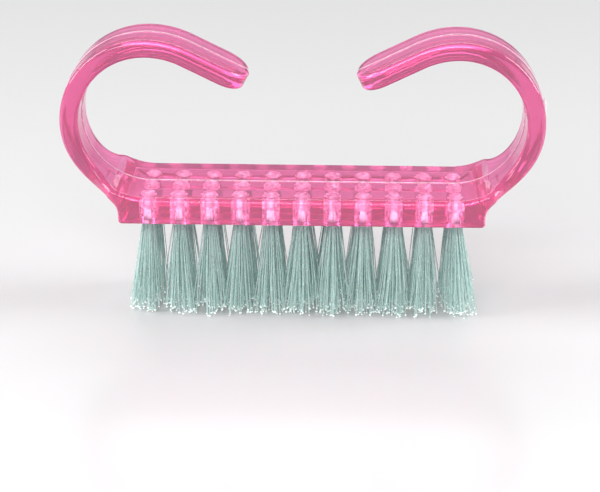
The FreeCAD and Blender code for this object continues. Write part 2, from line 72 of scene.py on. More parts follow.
@dataclass
class TreeWriter:
    """Adds nodes to a tree and joins them, so a tree reads from top to bottom."""

    tree: bpy.types.NodeTree
    column: int = 0

    def add(self, kind: str, **settings: Any) -> bpy.types.Node:
        """Add one node.

        Args:
            kind: The node's type name.
            **settings: Properties set on the node before its sockets are used.

        Returns:
            The new node.
        """
        node = self.tree.nodes.new(kind)
        for name, value in settings.items():
            setattr(node, name, value)
        node.location = (self.column * 190, -(self.column % 4) * 160)
        self.column += 1
        return node

    def put(self, socket: bpy.types.NodeSocket, value: Any) -> None:
        """Give a socket a link or a plain value.

        Args:
            socket: The input socket to fill.
            value: An output socket to link from, or a plain value.
        """
        if isinstance(value, bpy.types.NodeSocket):
            self.tree.links.new(value, socket)
        else:
            socket.default_value = value

    def math(self, operation: str, *values: Any, clamp: bool = False) -> bpy.types.NodeSocket:
        """Add a Math node.

        Args:
            operation: The Math node's operation.
            *values: One to three links or numbers.
            clamp: Whether the result is held between 0 and 1.

        Returns:
            The node's result.
        """
        node = self.add("ShaderNodeMath", operation=operation, use_clamp=clamp)
        for socket, value in zip(node.inputs, values):
            self.put(socket, value)
        return node.outputs[0]

    def combine(self, x: Any, y: Any, z: Any) -> bpy.types.NodeSocket:
        """Make a vector from three links or numbers.

        Args:
            x: First component.
            y: Second component.
            z: Third component.

        Returns:
            The vector socket.
        """
        node = self.add("ShaderNodeCombineXYZ")
        for socket, value in zip(node.inputs, (x, y, z)):
            self.put(socket, value)
        return node.outputs[0]

    def scaled(self, vector: Any, factor: Any) -> bpy.types.NodeSocket:
        """Scale a vector.

        Args:
            vector: Link or vector to scale.
            factor: Link or number to scale by.

        Returns:
            The scaled vector socket.
        """
        node = self.add("ShaderNodeVectorMath", operation="SCALE")
        self.put(node.inputs[0], vector)
        self.put(node.inputs["Scale"], factor)
        return node.outputs[0]

    def summed(self, first: Any, second: Any) -> bpy.types.NodeSocket:
        """Add two vectors and return the sum's socket."""
        node = self.add("ShaderNodeVectorMath", operation="ADD")
        self.put(node.inputs[0], first)
        self.put(node.inputs[1], second)
        return node.outputs[0]


def plain_mesh(source: bpy.types.Object, name: str) -> bpy.types.Object:
    """Turn an object with live modifiers into a new object with a plain mesh.

    Args:
        source: The object whose evaluated mesh is wanted; it is deleted.
        name: The new object's name.

    Returns:
        The new object, at the origin, linked to the scene.
    """
    graph = bpy.context.evaluated_depsgraph_get()
    mesh = bpy.data.meshes.new_from_object(
        source.evaluated_get(graph), preserve_all_data_layers=True, depsgraph=graph)
    bpy.data.objects.remove(source, do_unlink=True)
    mesh.name = name
    made = bpy.data.objects.new(name, mesh)
    bpy.context.scene.collection.objects.link(made)
    return made


def modifier_input(modifier: bpy.types.Modifier, name: str, value: Any) -> None:
    """Set one input of a Geometry Nodes modifier by its socket's identifier.

    Args:
        modifier: The modifier.
        name: The input's name in its tree.
        value: The value to set.
    """
    for item in modifier.node_group.interface.items_tree:
        if item.item_type == "SOCKET" and item.in_out == "INPUT" and item.name == name:
            modifier[item.identifier] = value
            return
    raise KeyError(name)


# ---------------------------------------------------------------------------
# shared shader groups
# ---------------------------------------------------------------------------

def handling_wear_group() -> bpy.types.NodeTree:
    """Build the shared group of fine scratches, smudges and slow flow waves.

    Returns:
        A shader group with a wear mask, a roughness value and a height.
    """
    tree = bpy.data.node_groups.new("handling_wear", "ShaderNodeTree")
    face = tree.interface
    for name, start in (("Smudge Scale", 120.0), ("Scratch Scale", 900.0),
                        ("Base Roughness", 0.05), ("Smudge Roughness", 0.12),
                        ("Scratch Amount", 0.5)):
        socket = face.new_socket(name=name, in_out="INPUT", socket_type="NodeSocketFloat")
        socket.default_value = start
    face.new_socket(name="Wear Mask", in_out="OUTPUT", socket_type="NodeSocketFloat")
    face.new_socket(name="Roughness", in_out="OUTPUT", socket_type="NodeSocketFloat")
    face.new_socket(name="Height", in_out="OUTPUT", socket_type="NodeSocketFloat")
    w = TreeWriter(tree)
    given = w.add("NodeGroupInput")
    place = w.add("ShaderNodeTexCoord").outputs["Object"]
    smudge = w.add("ShaderNodeTexNoise")
    w.put(smudge.inputs["Vector"], place)
    w.put(smudge.inputs["Scale"], given.outputs["Smudge Scale"])
    smudge.inputs["Detail"].default_value = 4.0
    stretch = w.add("ShaderNodeMapping")
    w.put(stretch.inputs["Vector"], place)
    stretch.inputs["Rotation"].default_value = (0.3, 0.5, 0.6)
    stretch.inputs["Scale"].default_value = (1.0, 0.06, 1.0)
    scratch = w.add("ShaderNodeTexNoise")
    w.put(scratch.inputs["Vector"], stretch.outputs[0])
    w.put(scratch.inputs["Scale"], given.outputs["Scratch Scale"])
    scratch.inputs["Detail"].default_value = 2.0
    fine = w.add("ShaderNodeMapRange")
    w.put(fine.inputs["Value"], scratch.outputs["Fac"])
    fine.inputs["From Min"].default_value = 0.60
    fine.inputs["From Max"].default_value = 0.72
    broad = w.add("ShaderNodeMapRange")
    w.put(broad.inputs["Value"], smudge.outputs["Fac"])
    broad.inputs["From Min"].default_value = 0.48
    broad.inputs["From Max"].default_value = 0.74
    lines = w.math("MULTIPLY", fine.outputs[0], given.outputs["Scratch Amount"])
    mask = w.math("MAXIMUM", lines, w.math("MULTIPLY", broad.outputs[0], 0.6), clamp=True)
    rough = w.math("MULTIPLY_ADD", mask, given.outputs["Smudge Roughness"],
                   given.outputs["Base Roughness"])
    height = w.math("MULTIPLY_ADD", lines, -0.5, w.math("MULTIPLY", smudge.outputs["Fac"], 0.35))
    result = w.add("NodeGroupOutput")
    w.put(result.inputs["Wear Mask"], mask)
    w.put(result.inputs["Roughness"], rough)
    w.put(result.inputs["Height"], height)
    return tree


class SharedGroups:
    """Shader groups that several finishes place, each built once."""

    def __init__(self) -> None:
        """Build the groups."""
        self.wear = handling_wear_group()

    def place_wear(self, w: TreeWriter, **values: float) -> bpy.types.Node:
        """Place the wear group in a material with its own values.

        Args:
            w: The writer of the material's tree.
            **values: Input values, with spaces in names written as underscores.

        Returns:
            The group's node.
        """
        node = w.add("ShaderNodeGroup", node_tree=self.wear)
        for name, value in values.items():
            node.inputs[name.replace("_", " ")].default_value = value
        return node


# ---------------------------------------------------------------------------
# finishes
# ---------------------------------------------------------------------------

def blank_material(name: str) -> tuple[bpy.types.Material, TreeWriter, bpy.types.Node, bpy.types.Node]:
    """Start a material with a Principled shader joined to its output.

    Args:
        name: The material's name.

    Returns:
        The material, its tree's writer, the shader and the output node.
    """
    material = bpy.data.materials.new(name)
    material.use_nodes = True
    material.node_tree.nodes.clear()
    w = TreeWriter(material.node_tree)
    shader = w.add("ShaderNodeBsdfPrincipled")
    output = w.add("ShaderNodeOutputMaterial")
    w.put(output.inputs["Surface"], shader.outputs[0])
    return material, w, shader, output


@dataclass(frozen=True)
class ClearPlastic:
    """Clear pink moulded plastic, deeper in colour the thicker it is."""

    surface: tuple[float, float, float, float] = (0.96, 0.42, 0.68, 1.0)
    surface_deep: tuple[float, float, float, float] = (0.93, 0.28, 0.58, 1.0)
    depth: tuple[float, float, float, float] = (0.99, 0.12, 0.56, 1.0)
    density: float = 155.0
    ior: float = 1.49
    transmission: float = 0.80

    def make(self, groups: SharedGroups) -> bpy.types.Material:
        """Build the material.

        Args:
            groups: The shared shader groups.

        Returns:
            The finished material.
        """
        material, w, shader, output = blank_material("clear_pink_plastic")
        wear = groups.place_wear(w, Smudge_Scale=160.0, Scratch_Scale=1400.0, Base_Roughness=0.035,
                                 Smudge_Roughness=0.10, Scratch_Amount=0.55)
        place = w.add("ShaderNodeTexCoord").outputs["Object"]
        swirl = w.add("ShaderNodeTexNoise")
        w.put(swirl.inputs["Vector"], place)
        swirl.inputs["Scale"].default_value = 55.0
        swirl.inputs["Detail"].default_value = 3.0
        swirl.inputs["Distortion"].default_value = 0.8
        tint = w.add("ShaderNodeMix", data_type="RGBA")
        w.put(tint.inputs["Factor"], swirl.outputs["Fac"])
        tint.inputs["A"].default_value = self.surface
        tint.inputs["B"].default_value = self.surface_deep
        w.put(shader.inputs["Base Color"], tint.outputs["Result"])
        w.put(shader.inputs["Roughness"], wear.outputs["Roughness"])
        shader.inputs["IOR"].default_value = self.ior
        shader.inputs["Transmission Weight"].default_value = self.transmission
        bump = w.add("ShaderNodeBump")
        bump.inputs["Strength"].default_value = 0.22
        bump.inputs["Distance"].default_value = 0.00012
        w.put(bump.inputs["Height"], wear.outputs["Height"])
        w.put(shader.inputs["Normal"], bump.outputs[0])
        inside = w.add("ShaderNodeVolumeAbsorption")
        inside.inputs["Color"].default_value = self.depth
        inside.inputs["Density"].default_value = self.density
        w.put(output.inputs["Volume"], inside.outputs[0])
        return material


@dataclass(frozen=True)
class FrostedPlastic:
    """The same plastic where a drill or a snapped gate left it rough and whitish. On the hole walls its
    pale tint is partly that real frosting and partly a painted reflection, and its emission is a painted
    glow with painted glints.
    """

    name: str = "frosted_pink_painted_light_plastic"
    pale: tuple[float, float, float, float] = (1.0, 0.97, 0.98, 1.0)
    pink: tuple[float, float, float, float] = (0.96, 0.55, 0.76, 1.0)
    ior: float = 1.49
    transmission: float = 0.30
    roughness: float = 0.28
    # Painted light: the emission strength, the glint amount and the two tints below paint a glow and
    # glints on the surface as emission.
    painted_emission: float = 1.0
    painted_glint: float = 1.6
    haze_contrast: float = 2.6
    painted_light_tint: tuple[float, float, float, float] = (0.46, 0.34, 0.42, 1.0)
    painted_light_tint_thin: tuple[float, float, float, float] = (0.10, 0.02, 0.05, 1.0)

    def make(self, groups: SharedGroups) -> bpy.types.Material:
        """Build the material.

        Args:
            groups: The shared shader groups.

        Returns:
            The finished material.
        """
        material, w, shader, _ = blank_material(self.name)
        wear = groups.place_wear(w, Smudge_Scale=900.0, Scratch_Scale=3200.0,
                                 Base_Roughness=self.roughness, Smudge_Roughness=0.35,
                                 Scratch_Amount=1.0)
        place = w.add("ShaderNodeTexCoord").outputs["Object"]
        blotch = w.add("ShaderNodeTexVoronoi")
        w.put(blotch.inputs["Vector"], place)
        blotch.inputs["Scale"].default_value = 2000.0
        cloud = w.add("ShaderNodeTexNoise")
        w.put(cloud.inputs["Vector"], place)
        cloud.inputs["Scale"].default_value = 2600.0
        cloud.inputs["Detail"].default_value = 4.0
        centred = w.math("SUBTRACT", cloud.outputs["Fac"], 0.5)
        haze = w.math("MULTIPLY_ADD", centred, self.haze_contrast, 0.5, clamp=True)
        tint = w.add("ShaderNodeMix", data_type="RGBA")
        w.put(tint.inputs["Factor"], haze)
        tint.inputs["A"].default_value = self.pale
        tint.inputs["B"].default_value = self.pink
        w.put(shader.inputs["Base Color"], tint.outputs["Result"])
        w.put(shader.inputs["Roughness"], wear.outputs["Roughness"])
        shader.inputs["IOR"].default_value = self.ior
        shader.inputs["Transmission Weight"].default_value = self.transmission
        # Painted light: pale painted glints on Voronoi spots over a painted glow whose tint follows the
        # haze, given as emission.
        chosen = w.add("ShaderNodeSeparateColor")
        w.put(chosen.inputs[0], blotch.outputs["Color"])
        spot = w.math("MULTIPLY", w.math("SUBTRACT", 1.0, w.math(
            "MULTIPLY", blotch.outputs["Distance"], 1.5), clamp=True), w.math(
            "GREATER_THAN", chosen.outputs[0], 0.5))
        painted_light_tint = w.add("ShaderNodeMix", data_type="RGBA")
        w.put(painted_light_tint.inputs["Factor"], haze)
        painted_light_tint.inputs["A"].default_value = self.painted_light_tint
        painted_light_tint.inputs["B"].default_value = self.painted_light_tint_thin
        painted_light_mix = w.add("ShaderNodeMix", data_type="RGBA")
        w.put(painted_light_mix.inputs["Factor"], w.math("MULTIPLY", spot, self.painted_glint, clamp=True))
        w.put(painted_light_mix.inputs["A"], painted_light_tint.outputs["Result"])
        painted_light_mix.inputs["B"].default_value = self.pale
        w.put(shader.inputs["Emission Color"], painted_light_mix.outputs["Result"])
        shader.inputs["Emission Strength"].default_value = self.painted_emission
        bump = w.add("ShaderNodeBump")
        bump.inputs["Strength"].default_value = 0.6
        bump.inputs["Distance"].default_value = 0.0001
        w.put(bump.inputs["Height"], blotch.outputs["Distance"])
        w.put(shader.inputs["Normal"], bump.outputs[0])
        return material


@dataclass(frozen=True)
class Nylon:
    """Drawn nylon filament: a dyed, slightly clear thread with faint lengthwise streaks. Inside the hole
    it is painted paler and given a painted glow, and a faint even painted glow lies over all of it.
    """

    name: str = "mint_nylon"
    dark: tuple[float, float, float, float] = (0.46, 0.74, 0.70, 1.0)
    light: tuple[float, float, float, float] = (0.84, 0.97, 0.94, 1.0)
    roughness: float = 0.24
    transmission: float = 0.35
    ior: float = 1.53
    # Painted light: the emission amount and the paler hole colour below paint a glow and a paler tint on
    # the filament.
    painted_emission: float = 0.0
    painted_hole_light: tuple[float, float, float, float] = (0.80, 0.90, 0.86, 1.0)
    painted_hole_light_from: float = 0.0141
    painted_hole_light_over: float = 0.0006

    def make(self, groups: SharedGroups) -> bpy.types.Material:
        """Build the material.

        Args:
            groups: The shared shader groups.

        Returns:
            The finished material.
        """
        material, w, shader, _ = blank_material(self.name)
        place = w.add("ShaderNodeTexCoord").outputs["Object"]
        drawn = w.add("ShaderNodeMapping")
        w.put(drawn.inputs["Vector"], place)
        drawn.inputs["Scale"].default_value = (1.0, 1.0, 0.05)
        streak = w.add("ShaderNodeTexNoise")
        w.put(streak.inputs["Vector"], drawn.outputs[0])
        streak.inputs["Scale"].default_value = 3800.0
        streak.inputs["Detail"].default_value = 2.0
        tint = w.add("ShaderNodeMix", data_type="RGBA")
        w.put(tint.inputs["Factor"], streak.outputs["Fac"])
        tint.inputs["A"].default_value = self.dark
        tint.inputs["B"].default_value = self.light
        # Painted light: above the mouth, inside the hole, the filament is painted paler.
        level = w.add("ShaderNodeSeparateXYZ")
        w.put(level.inputs[0], place)
        painted_hole_light = w.math("DIVIDE", w.math("SUBTRACT", level.outputs["Z"], self.painted_hole_light_from),
                         self.painted_hole_light_over, clamp=True)
        paled = w.add("ShaderNodeMix", data_type="RGBA")
        w.put(paled.inputs["Factor"], painted_hole_light)
        w.put(paled.inputs["A"], tint.outputs["Result"])
        paled.inputs["B"].default_value = self.painted_hole_light
        w.put(shader.inputs["Base Color"], paled.outputs["Result"])
        wear = groups.place_wear(w, Smudge_Scale=700.0, Scratch_Scale=5000.0,
                                 Base_Roughness=self.roughness, Smudge_Roughness=0.2,
                                 Scratch_Amount=0.4)
        w.put(shader.inputs["Roughness"], wear.outputs["Roughness"])
        shader.inputs["IOR"].default_value = self.ior
        shader.inputs["Transmission Weight"].default_value = self.transmission
        # Painted glow: emission in the paler hole colour inside the hole, brighter along the streaks,
        # plus an even painted emission everywhere.
        painted_light_mix = w.add("ShaderNodeMix", data_type="RGBA")
        w.put(painted_light_mix.inputs["Factor"], w.math("MULTIPLY_ADD", painted_hole_light, w.math(
            "MULTIPLY_ADD", streak.outputs["Fac"], 2.2, -0.45), self.painted_emission, clamp=True))
        painted_light_mix.inputs["A"].default_value = (0.0, 0.0, 0.0, 1.0)
        painted_light_mix.inputs["B"].default_value = self.painted_hole_light
        w.put(shader.inputs["Emission Color"], painted_light_mix.outputs["Result"])
        shader.inputs["Emission Strength"].default_value = 0.9
        bump = w.add("ShaderNodeBump")
        bump.inputs["Strength"].default_value = 0.25
        bump.inputs["Distance"].default_value = 0.00001
        w.put(bump.inputs["Height"], streak.outputs["Fac"])
        w.put(shader.inputs["Normal"], bump.outputs[0])
        return material


@dataclass(frozen=True)
class AnchorWire:
    """Flat drawn steel wire, cut to length, with lengthwise lines."""

    bright: tuple[float, float, float, float] = (0.72, 0.71, 0.69, 1.0)
    dull: tuple[float, float, float, float] = (0.46, 0.45, 0.44, 1.0)

    def make(self, groups: SharedGroups) -> bpy.types.Material:
        """Build the material.

        Args:
            groups: The shared shader groups.

        Returns:
            The finished material.
        """
        material, w, shader, _ = blank_material("drawn_anchor_wire")
        wear = groups.place_wear(w, Smudge_Scale=600.0, Scratch_Scale=4000.0, Base_Roughness=0.26,
                                 Smudge_Roughness=0.25, Scratch_Amount=1.0)
        tint = w.add("ShaderNodeMix", data_type="RGBA")
        w.put(tint.inputs["Factor"], wear.outputs["Wear Mask"])
        tint.inputs["A"].default_value = self.bright
        tint.inputs["B"].default_value = self.dull
        w.put(shader.inputs["Base Color"], tint.outputs["Result"])
        w.put(shader.inputs["Roughness"], wear.outputs["Roughness"])
        shader.inputs["Metallic"].default_value = 1.0
        bump = w.add("ShaderNodeBump")
        bump.inputs["Strength"].default_value = 0.4
        bump.inputs["Distance"].default_value = 0.00002
        w.put(bump.inputs["Height"], wear.outputs["Height"])
        w.put(shader.inputs["Normal"], bump.outputs[0])
        return material


@dataclass(frozen=True)
class PaleFloor:
    """Plain pale table top."""

    tone: tuple[float, float, float, float] = (0.62, 0.62, 0.625, 1.0)
    tone_low: tuple[float, float, float, float] = (0.59, 0.59, 0.595, 1.0)
    roughness: float = 0.24

    def make(self) -> bpy.types.Material:
        """Build the floor's material and return it."""
        material, w, shader, _ = blank_material("pale_floor")
        grain = w.add("ShaderNodeTexNoise")
        w.put(grain.inputs["Vector"], w.add("ShaderNodeTexCoord").outputs["Object"])
        grain.inputs["Scale"].default_value = 6.0
        tint = w.add("ShaderNodeMix", data_type="RGBA")
        w.put(tint.inputs["Factor"], grain.outputs["Fac"])
        tint.inputs["A"].default_value = self.tone
        tint.inputs["B"].default_value = self.tone_low
        w.put(shader.inputs["Base Color"], tint.outputs["Result"])
        shader.inputs["Roughness"].default_value = self.roughness
        return material


@dataclass
class Finishes:
    """Every finished material of the brush, built once."""

    groups: SharedGroups = field(default_factory=SharedGroups)
    clear: bpy.types.Material = None
    drilled: bpy.types.Material = None
    lip: bpy.types.Material = None
    parting: bpy.types.Material = None
    torn: bpy.types.Material = None
    nylon: bpy.types.Material = None
    nylon_tip: bpy.types.Material = None
    wire: bpy.types.Material = None

    def __post_init__(self) -> None:
        """Build the materials from their finish classes."""
        self.clear = ClearPlastic().make(self.groups)
        # Painted light: the hole walls' finish carries a painted glow and painted glints, and the lip
        # copy below is a whiter copy with its own painted glow.
        self.drilled = FrostedPlastic().make(self.groups)
        self.lip = FrostedPlastic(name="drilled_lip_painted_light_plastic", pink=(1.0, 0.90, 0.95, 1.0),
                                  transmission=0.90, roughness=0.06, painted_glint=0.9, painted_emission=0.8,
                                  painted_light_tint=(0.12, 0.09, 0.11, 1.0),
                                  painted_light_tint_thin=(0.0, 0.0, 0.0, 1.0)).make(self.groups)
        self.torn = FrostedPlastic(name="torn_gate_plastic", pale=(1.0, 0.95, 0.97, 1.0),
                                   pink=(1.0, 0.80, 0.88, 1.0), transmission=0.25,
                                   roughness=0.4, painted_emission=0.0).make(self.groups)
        self.parting = FrostedPlastic(name="parting_ridge_plastic", pink=(1.0, 0.86, 0.92, 1.0),
                                      transmission=0.45, roughness=0.22, painted_emission=0.0).make(self.groups)
        # Painted glow: a faint even emission over the filament, stronger inside the hole.
        self.nylon = Nylon(painted_emission=0.03).make(self.groups)
        # Painted highlight: the tip beads are painted near white and given a painted glow.
        self.nylon_tip = Nylon(name="mint_nylon_tip_painted_highlight", dark=(0.88, 0.94, 0.93, 1.0),
                               light=(0.97, 1.0, 0.99, 1.0), roughness=0.14,
                               transmission=0.10, painted_emission=0.30).make(self.groups)
        self.wire = AnchorWire().make(self.groups)


# ---------------------------------------------------------------------------
# handle
# ---------------------------------------------------------------------------

def parting_ridge_tree(flash: bpy.types.Material) -> bpy.types.NodeTree:
    """Build the tree that raises the mould's parting ridge from marked points.

    Args:
        flash: The pale material of the ridge itself.

    Returns:
        A Geometry Nodes tree with named inputs for the ridge's size and waver, and the given finish on
        its crest.
    """
    tree = bpy.data.node_groups.new("parting_ridge", "GeometryNodeTree")
    face = tree.interface
    face.new_socket(name="Geometry", in_out="INPUT", socket_type="NodeSocketGeometry")
    for name, start in (("Half Width", 0.13 * MM), ("Ridge Height", 0.08 * MM),
                        ("Waver", 0.25), ("Waver Scale", 420.0)):
        face.new_socket(name=name, in_out="INPUT", socket_type="NodeSocketFloat").default_value = start
    face.new_socket(name="Geometry", in_out="OUTPUT", socket_type="NodeSocketGeometry")
    w = TreeWriter(tree)
    given = w.add("NodeGroupInput")
    place = w.add("GeometryNodeInputPosition").outputs[0]
    parts = w.add("ShaderNodeSeparateXYZ")
    w.put(parts.inputs[0], place)
    aside = w.math("ABSOLUTE", parts.outputs["Y"])
    slope = w.math("SUBTRACT", 1.0, w.math("DIVIDE", aside, given.outputs["Half Width"]), clamp=True)
    crown = w.math("POWER", slope, 0.7)
    wave = w.add("ShaderNodeTexNoise")
    w.put(wave.inputs["Vector"], place)
    w.put(wave.inputs["Scale"], given.outputs["Waver Scale"])
    sway = w.math("MULTIPLY_ADD", w.math("SUBTRACT", wave.outputs["Fac"], 0.5),
                  w.math("MULTIPLY", given.outputs["Waver"], 2.0), 1.0)
    marked = w.add("GeometryNodeInputNamedAttribute", data_type="FLOAT")
    marked.inputs["Name"].default_value = "on_parting"
    high = w.math("MULTIPLY", w.math("MULTIPLY", crown, sway),
                  w.math("MULTIPLY", marked.outputs["Attribute"], given.outputs["Ridge Height"]))
    normal = w.add("GeometryNodeInputNormal").outputs[0]
    move = w.add("GeometryNodeSetPosition")
    w.put(move.inputs["Geometry"], given.outputs["Geometry"])
    w.put(move.inputs["Offset"], w.scaled(normal, high))
    real = w.add("GeometryNodeRealizeInstances")
    w.put(real.inputs[0], move.outputs[0])
    on_crest = w.math("MULTIPLY", w.math("LESS_THAN", aside, w.math(
        "MULTIPLY", given.outputs["Half Width"], 0.6)), w.math(
        "GREATER_THAN", marked.outputs["Attribute"], 0.9))
    coat = w.add("GeometryNodeSetMaterial")
    coat.inputs["Material"].default_value = flash
    w.put(coat.inputs["Geometry"], real.outputs[0])
    w.put(coat.inputs["Selection"], on_crest)
    w.put(w.add("NodeGroupOutput").inputs[0], coat.outputs[0])
    return tree


@dataclass
class MouldedHandle:
    """The one-piece handle: a drilled block with a curled finger hook at each end."""

    foot: float
    node: str = "handle_body"
    hole_pitch: float = 4.17 * MM
    row_pitch: float = 3.8 * MM
    columns: int = 11
    hole_radius: float = 0.95 * MM
    hole_deep: float = 2.7 * MM
    block_half: float = 24.75 * MM
    block_high: float = 3.65 * MM
    lip_rise: float = 1.6 * MM
    gate_out: float = 32.42 * MM
    gate_rise: float = 14.6 * MM
    gate_shape: tuple[float, float, float] = (0.42, 0.80, 1.3)
    ridge_half: float = 0.16 * MM
    ridge_high: float = 0.11 * MM
    sharp_angle: float = 32.0
    bubbles: tuple[tuple[float, float, float, float], ...] = (
        (-23.1, -4.6, 2.8, 0.16), (-23.6, 3.4, 1.7, 0.11), (23.2, 5.3, 2.9, 0.17),
        (29.4, 1.2, 8.4, 0.12), (-31.1, -2.4, 13.9, 0.10), (24.1, -5.9, 1.4, 0.10),
        (12.6, 0.4, 22.3, 0.09), (-17.7, 2.2, 23.6, 0.10))

    def in_hole(self, point: Vector) -> bool:
        """Say whether a point is on the wall or the end of a tuft hole."""
        if not 0.02 * MM < point.z - self.foot < self.hole_deep + 0.05 * MM:
            return False
        column = round(point.x / self.hole_pitch)
        if abs(column) > self.columns // 2:
            return False
        x = column * self.hole_pitch
        for row in (-1, 0, 1):
            if math.hypot(point.x - x, point.y - row * self.row_pitch) < self.hole_radius + 0.25 * MM:
                return True
        return False

    def is_skin(self, point: Vector) -> bool:
        """Say whether a point is on the outer skin that the mould's two halves share."""
        between_ends = abs(point.x) < self.block_half - 0.01 * MM
        below_top = point.z < self.foot + self.block_high - 0.05 * MM
        return not (between_ends and below_top)

    def cut_ridge_lines(self, bm: bmesh.types.BMesh) -> None:
        """Cut lines along the parting plane for the ridge to rise from.

        Args:
            bm: The handle's mesh, changed in place.
        """
        for part in (-1.0, -0.5, 0.0, 0.5, 1.0):
            y = part * self.ridge_half
            faces = [f for f in bm.faces if all(self.is_skin(v.co) for v in f.verts)
                     and min(v.co.y for v in f.verts) < y - 1e-7 < max(v.co.y for v in f.verts)]
            near = {e for f in faces for e in f.edges} | {v for f in faces for v in f.verts}
            bmesh.ops.bisect_plane(bm, geom=[*faces, *near], dist=1e-7,
                                   plane_co=(0.0, y, 0.0), plane_no=(0.0, 1.0, 0.0))

    def cut_hole_rings(self, bm: bmesh.types.BMesh) -> None:
        """Cut the hole walls into rings, where the drill's finish changes.

        Args:
            bm: The handle's mesh, changed in place.
        """
        walls = [f for f in bm.faces if self.in_hole(f.calc_center_median())]
        near = {e for f in walls for e in f.edges} | {v for f in walls for v in f.verts}
        bmesh.ops.bisect_plane(bm, geom=[*walls, *near], dist=1e-7,
                               plane_co=(0.0, 0.0, self.foot + self.lip_rise), plane_no=(0.0, 0.0, 1.0))

    def add_bubbles(self, bm: bmesh.types.BMesh) -> None:
        """Add small trapped air bubbles as closed voids in the plastic.

        Args:
            bm: The handle's mesh, changed in place.
        """
        for x, y, z, radius in self.bubbles:
            centre = Matrix.Translation((x * MM, y * MM, self.foot + z * MM))
            place = centre @ Matrix.Diagonal((1.0, 1.0, 0.8, 1.0))
            made = bmesh.ops.create_icosphere(bm, subdivisions=2, radius=radius * MM, matrix=place)
            faces = {f for v in made["verts"] for f in v.link_faces}
            bmesh.ops.reverse_faces(bm, faces=list(faces))

    def add_gate_stub(self, bm: bmesh.types.BMesh) -> None:
        """Add the torn stub where the moulding was snapped off its runner.

        Args:
            bm: The handle's mesh, changed in place.
        """
        centre = Matrix.Translation((self.gate_out, 0.0, self.foot + self.gate_rise))
        place = centre @ Matrix.Diagonal((*self.gate_shape, 1.0))
        made = bmesh.ops.create_icosphere(bm, subdivisions=4, radius=1.0 * MM, matrix=place)
        for vertex in made["verts"]:
            spot = vertex.co / MM
            vertex.co.x += noise.noise(spot * 3.1) * 0.14 * MM
            vertex.co.z += noise.noise(spot * 2.3 + Vector((9.0, 0.0, 0.0))) * 0.16 * MM
            vertex.co.y += noise.noise(spot * 2.7 + Vector((0.0, 5.0, 0.0))) * 0.12 * MM
        for face in {f for v in made["verts"] for f in v.link_faces}:
            face.material_index = 2

    def build(self, source: bpy.types.Object, finishes: Finishes) -> bpy.types.Object:
        """Build the handle from the CAD solid and dress it.

        Args:
            source: The CAD node's object; it is only copied.
            finishes: The finished materials.

        Returns:
            The handle's object.
        """
        bm = bmesh.new()
        bm.from_mesh(source.data)
        bmesh.ops.remove_doubles(bm, verts=bm.verts, dist=2e-6)
        bmesh.ops.dissolve_degenerate(bm, edges=bm.edges, dist=1e-7)
        self.cut_ridge_lines(bm)
        self.cut_hole_rings(bm)
        # Hole walls take the frosted finish with its painted glow; the lower ring of the outer rows
        # takes the whiter lip copy with a stronger painted glow.
        for face in bm.faces:
            middle = face.calc_center_median()
            outer_row = abs(middle.y) > 0.5 * self.row_pitch
            lip = outer_row and middle.z < self.foot + self.lip_rise
            face.material_index = 0 if not self.in_hole(middle) else 3 if lip else 1
        self.add_bubbles(bm)
        marks = [1.0 if self.is_skin(v.co) and abs(v.co.y) < self.ridge_half else 0.0 for v in bm.verts]
        mesh = bpy.data.meshes.new("handle_draft")
        bm.to_mesh(mesh)
        bm.free()
        layer = mesh.attributes.new("on_parting", "FLOAT", "POINT")
        layer.data.foreach_set("value", marks)
        for material in (finishes.clear, finishes.drilled, finishes.torn, finishes.lip,
                         finishes.parting):
            mesh.materials.append(material)
        mesh.shade_smooth()
        draft = bpy.data.objects.new("handle_draft", mesh)
        bpy.context.scene.collection.objects.link(draft)
        ridge = draft.modifiers.new("parting_ridge", "NODES")
        ridge.node_group = parting_ridge_tree(finishes.parting)
        modifier_input(ridge, "Half Width", self.ridge_half)
        modifier_input(ridge, "Ridge Height", self.ridge_high)
        raised = plain_mesh(draft, "handle_raised")
        bm = bmesh.new()
        bm.from_mesh(raised.data)
        self.add_gate_stub(bm)
        bm.to_mesh(raised.data)
        bm.free()
        raised.data.shade_smooth()
        raised.data.set_sharp_from_angle(angle=math.radians(self.sharp_angle))
        weighted = raised.modifiers.new("even_normals", "WEIGHTED_NORMAL")
        weighted.keep_sharp = True
        weighted.weight = 80
        handle = plain_mesh(raised, "moulded_handle")
        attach(handle, BODY)
        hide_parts(self.node)
        return handle


# ---------------------------------------------------------------------------
# tufts
# ---------------------------------------------------------------------------

class Row(Enum):
    """The three rows of tufts and where each lies across the block."""

    FRONT = ("front", -1)
    MIDDLE = ("middle", 0)
    BACK = ("back", 1)


